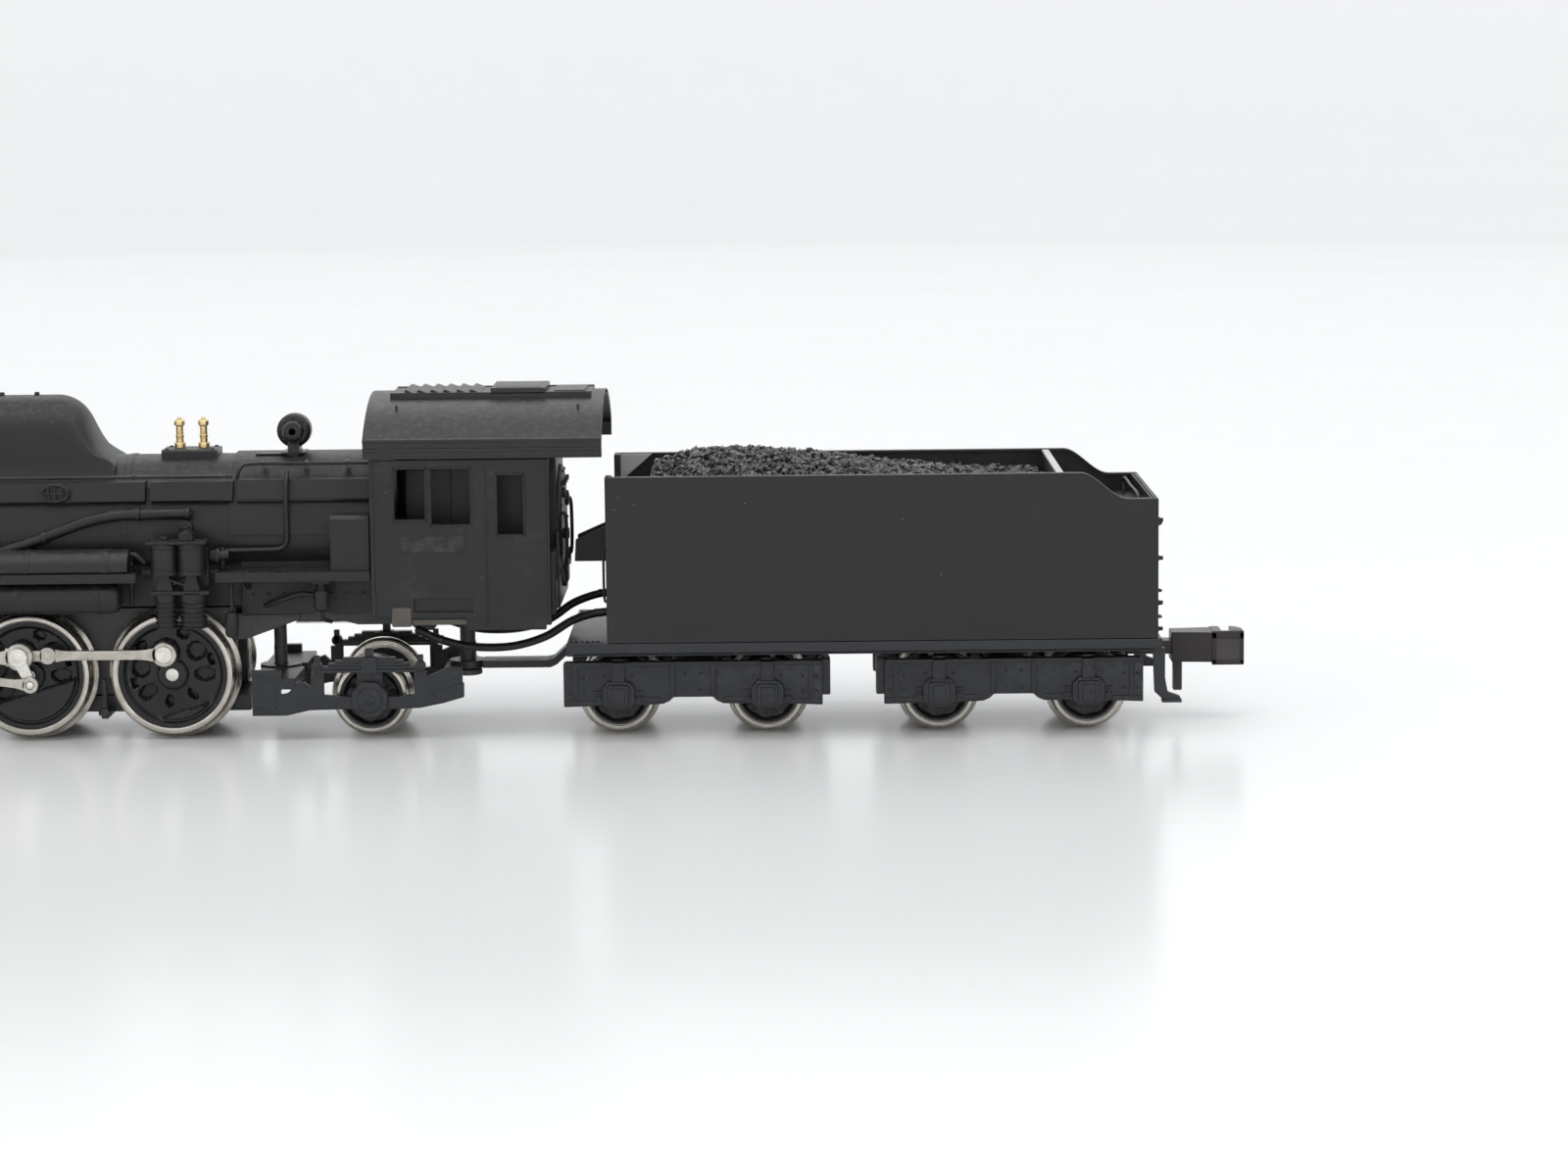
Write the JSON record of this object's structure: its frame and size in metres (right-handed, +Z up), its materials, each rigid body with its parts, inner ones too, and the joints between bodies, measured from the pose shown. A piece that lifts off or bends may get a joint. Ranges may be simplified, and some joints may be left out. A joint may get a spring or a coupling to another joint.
{
  "type": "model steam locomotive",
  "caption": "Small-scale model tender steam locomotive with turning wheels, coupled rods, swivelling trucks and a loaded coal tender.",
  "frame": {"origin": "middle of the footprint's bounding box, at the bottom of the wheel flanges", "axes": "+X towards the tender (rear), +Z up, the left side of the engine at -Y"},
  "size_m": [0.144, 0.0186, 0.0267],
  "materials": {
    "body_plastic": "matt black-grey moulded plastic with a fine satin sheen",
    "underframe_plastic": "satin dark grey moulded plastic",
    "diecast_frame": "blackened die-cast metal",
    "tyre_metal": "turned nickel-plated tyres, warm bright metal",
    "rod_metal": "stamped nickel-plated sheet, slightly matt",
    "valve_brass": "turned brass",
    "coal_grain": "loose glossy black-grey granules",
    "coupler_plastic": "brown-black moulded plastic",
    "ballast_metal": "plain cast ballast",
    "motor_steel": "plain steel can and shaft",
    "contact_strip": "bright sprung contact strip",
    "gear_nylon": "natural nylon",
    "wire_sleeve": "black insulated wire"
  },
  "bodies": {
    "engine": {"chassis_frame": "diecast_frame", "keeper_plate": "underframe_plastic", "cylinder_block": "body_plastic", "front_deck": "body_plastic", "front_coupler": "coupler_plastic", "motor": "motor_steel", "boiler_weight": "ballast_metal", "running_board_left": "body_plastic", "running_board_right": "body_plastic", "smoke_deflector_left": "body_plastic", "smoke_deflector_right": "body_plastic", "air_reservoir_left": "body_plastic", "air_reservoir_right": "body_plastic", "boiler_shell": "body_plastic", "smokebox_door": "body_plastic", "chimney": "body_plastic", "dome_cover": "body_plastic", "safety_valve_front": "valve_brass", "safety_valve_rear": "valve_brass", "turbo_generator": "body_plastic", "headlamp": "body_plastic", "air_compressor": "body_plastic", "feed_water_pump": "body_plastic", "cab_body": "body_plastic", "cab_roof": "body_plastic", "roof_ventilator": "body_plastic", "cab_backhead": "body_plastic", "pickup_strip": "contact_strip"},
    "driver_3": {"driver_wheelset_3": "tyre_metal"},
    "driver_1": {"driver_wheelset_1": "tyre_metal"},
    "driver_2": {"driver_wheelset_2": "tyre_metal"},
    "driver_4": {"driver_wheelset_4": "tyre_metal"},
    "side_rod_left": {"side_rod_left": "rod_metal"},
    "main_rod_left": {"main_rod_left": "rod_metal"},
    "eccentric_rod_left": {"eccentric_rod_left": "rod_metal"},
    "crosshead_left": {"crosshead_left": "rod_metal"},
    "side_rod_right": {"side_rod_right": "rod_metal"},
    "main_rod_right": {"main_rod_right": "rod_metal"},
    "eccentric_rod_right": {"eccentric_rod_right": "rod_metal"},
    "crosshead_right": {"crosshead_right": "rod_metal"},
    "idler": {"idler_gear": "gear_nylon"},
    "armature": {"motor_shaft": "motor_steel"},
    "leading_truck": {"leading_truck": "underframe_plastic"},
    "leading_wheels": {"leading_wheelset": "tyre_metal"},
    "trailing_truck": {"trailing_truck": "underframe_plastic"},
    "trailing_wheels": {"trailing_wheelset": "tyre_metal"},
    "drawbar": {"drawbar": "underframe_plastic", "wire_left": "wire_sleeve", "wire_right": "wire_sleeve"},
    "tender": {"tender_body": "body_plastic", "coal_load": "coal_grain", "tender_floor": "underframe_plastic", "tender_weight": "ballast_metal"},
    "tender_bogie_front": {"tender_bogie_front": "underframe_plastic"},
    "tender_wheels_front_front": {"tender_wheelset_front_front": "tyre_metal"},
    "tender_wheels_front_rear": {"tender_wheelset_front_rear": "tyre_metal"},
    "tender_bogie_rear": {"tender_bogie_rear": "underframe_plastic"},
    "tender_wheels_rear_front": {"tender_wheelset_rear_front": "tyre_metal"},
    "tender_wheels_rear_rear": {"tender_wheelset_rear_rear": "tyre_metal"},
    "coupler": {"rear_coupler": "coupler_plastic"}
  },
  "joints": [
    {"name": "driver_3_spin", "type": "hinge", "parent": "engine", "child": "driver_3", "pos_m": [-0.0216, 0, 0.0051], "axis": [0, 1, 0], "continuous": true},
    {"name": "driver_1_spin", "type": "hinge", "parent": "engine", "child": "driver_1", "pos_m": [-0.0436, 0, 0.0051], "axis": [0, 1, 0], "continuous": true},
    {"name": "driver_2_spin", "type": "hinge", "parent": "engine", "child": "driver_2", "pos_m": [-0.0326, 0, 0.0051], "axis": [0, 1, 0], "continuous": true},
    {"name": "driver_4_spin", "type": "hinge", "parent": "engine", "child": "driver_4", "pos_m": [-0.0106, 0, 0.0051], "axis": [0, 1, 0], "continuous": true},
    {"name": "side_rod_left_pin", "type": "hinge", "parent": "driver_3", "child": "side_rod_left", "pos_m": [-0.0221, -0.00628, 0.00674], "axis": [0, 1, 0], "continuous": true},
    {"name": "main_rod_left_pin", "type": "hinge", "parent": "driver_3", "child": "main_rod_left", "pos_m": [-0.0221, -0.00682, 0.00674], "axis": [0, 1, 0], "continuous": true},
    {"name": "eccentric_rod_left_pin", "type": "hinge", "parent": "driver_3", "child": "eccentric_rod_left", "pos_m": [-0.02116, -0.00766, 0.00469], "axis": [0, 1, 0], "continuous": true},
    {"name": "crosshead_left_slide", "type": "slide", "parent": "engine", "child": "crosshead_left", "axis": [1, 0, 0], "range_m": [-0.00123, 0.00221]},
    {"name": "side_rod_right_pin", "type": "hinge", "parent": "driver_3", "child": "side_rod_right", "pos_m": [-0.02324, 0.00628, 0.0046], "axis": [0, 1, 0], "continuous": true},
    {"name": "main_rod_right_pin", "type": "hinge", "parent": "driver_3", "child": "main_rod_right", "pos_m": [-0.02324, 0.00682, 0.0046], "axis": [0, 1, 0], "continuous": true},
    {"name": "eccentric_rod_right_pin", "type": "hinge", "parent": "driver_3", "child": "eccentric_rod_right", "pos_m": [-0.02119, 0.00766, 0.00554], "axis": [0, 1, 0], "continuous": true},
    {"name": "crosshead_right_slide", "type": "slide", "parent": "engine", "child": "crosshead_right", "axis": [1, 0, 0], "range_m": [-0.00011, 0.00333]},
    {"name": "idler_spin", "type": "hinge", "parent": "engine", "child": "idler", "pos_m": [-0.01809, 0, 0.0094], "axis": [0, 1, 0], "continuous": true},
    {"name": "motor_spin", "type": "hinge", "parent": "engine", "child": "armature", "pos_m": [-0.01809, 0, 0.013], "axis": [1, 0, 0], "continuous": true},
    {"name": "leading_truck_swivel", "type": "hinge", "parent": "engine", "child": "leading_truck", "pos_m": [-0.0516, 0, 0.0056], "axis": [0, 0, 1], "range_deg": [-5, 5]},
    {"name": "leading_wheel_spin", "type": "hinge", "parent": "leading_truck", "child": "leading_wheels", "pos_m": [-0.0596, 0, 0.0032], "axis": [0, 1, 0], "continuous": true},
    {"name": "trailing_truck_swivel", "type": "hinge", "parent": "engine", "child": "trailing_truck", "pos_m": [-0.003, 0, 0.0044], "axis": [0, 0, 1], "range_deg": [-5, 5]},
    {"name": "trailing_wheel_spin", "type": "hinge", "parent": "trailing_truck", "child": "trailing_wheels", "pos_m": [0.0046, 0, 0.0032], "axis": [0, 1, 0], "continuous": true},
    {"name": "drawbar_swing", "type": "hinge", "parent": "engine", "child": "drawbar", "pos_m": [0.0116, 0, 0.0049], "axis": [0, 0, 1], "range_deg": [-8, 8]},
    {"name": "tender_swing", "type": "hinge", "parent": "drawbar", "child": "tender", "pos_m": [0.0216, 0, 0.00625], "axis": [0, 0, 1], "range_deg": [-10, 10]},
    {"name": "tender_bogie_front_swivel", "type": "hinge", "parent": "tender", "child": "tender_bogie_front", "pos_m": [0.0293, 0, 0.0048], "axis": [0, 0, 1], "range_deg": [-8, 8]},
    {"name": "tender_wheel_front_front_spin", "type": "hinge", "parent": "tender_bogie_front", "child": "tender_wheels_front_front", "pos_m": [0.0236, 0, 0.0032], "axis": [0, 1, 0], "continuous": true},
    {"name": "tender_wheel_front_rear_spin", "type": "hinge", "parent": "tender_bogie_front", "child": "tender_wheels_front_rear", "pos_m": [0.035, 0, 0.0032], "axis": [0, 1, 0], "continuous": true},
    {"name": "tender_bogie_rear_swivel", "type": "hinge", "parent": "tender", "child": "tender_bogie_rear", "pos_m": [0.0538, 0, 0.0048], "axis": [0, 0, 1], "range_deg": [-8, 8]},
    {"name": "tender_wheel_rear_front_spin", "type": "hinge", "parent": "tender_bogie_rear", "child": "tender_wheels_rear_front", "pos_m": [0.0481, 0, 0.0032], "axis": [0, 1, 0], "continuous": true},
    {"name": "tender_wheel_rear_rear_spin", "type": "hinge", "parent": "tender_bogie_rear", "child": "tender_wheels_rear_rear", "pos_m": [0.0595, 0, 0.0032], "axis": [0, 1, 0], "continuous": true},
    {"name": "coupler_swivel", "type": "hinge", "parent": "tender", "child": "coupler", "pos_m": [0.0624, 0, 0.0056], "axis": [0, 0, 1], "range_deg": [-12, 12], "stiffness_Nm_per_rad": 0.0004}
  ],
  "couplings": [
    {"joint": "driver_1_spin", "follows": "driver_3_spin", "ratio": 1},
    {"joint": "driver_2_spin", "follows": "driver_3_spin", "ratio": 1},
    {"joint": "driver_4_spin", "follows": "driver_3_spin", "ratio": 1},
    {"joint": "side_rod_left_pin", "follows": "driver_3_spin", "ratio": -1},
    {"joint": "main_rod_left_pin", "follows": "driver_3_spin", "ratio": -1},
    {"joint": "eccentric_rod_left_pin", "follows": "driver_3_spin", "ratio": -1},
    {"joint": "side_rod_right_pin", "follows": "driver_3_spin", "ratio": -1},
    {"joint": "main_rod_right_pin", "follows": "driver_3_spin", "ratio": -1},
    {"joint": "eccentric_rod_right_pin", "follows": "driver_3_spin", "ratio": -1},
    {"joint": "idler_spin", "follows": "driver_3_spin", "ratio": -1.3125},
    {"joint": "motor_spin", "follows": "driver_3_spin", "ratio": 21}
  ]
}
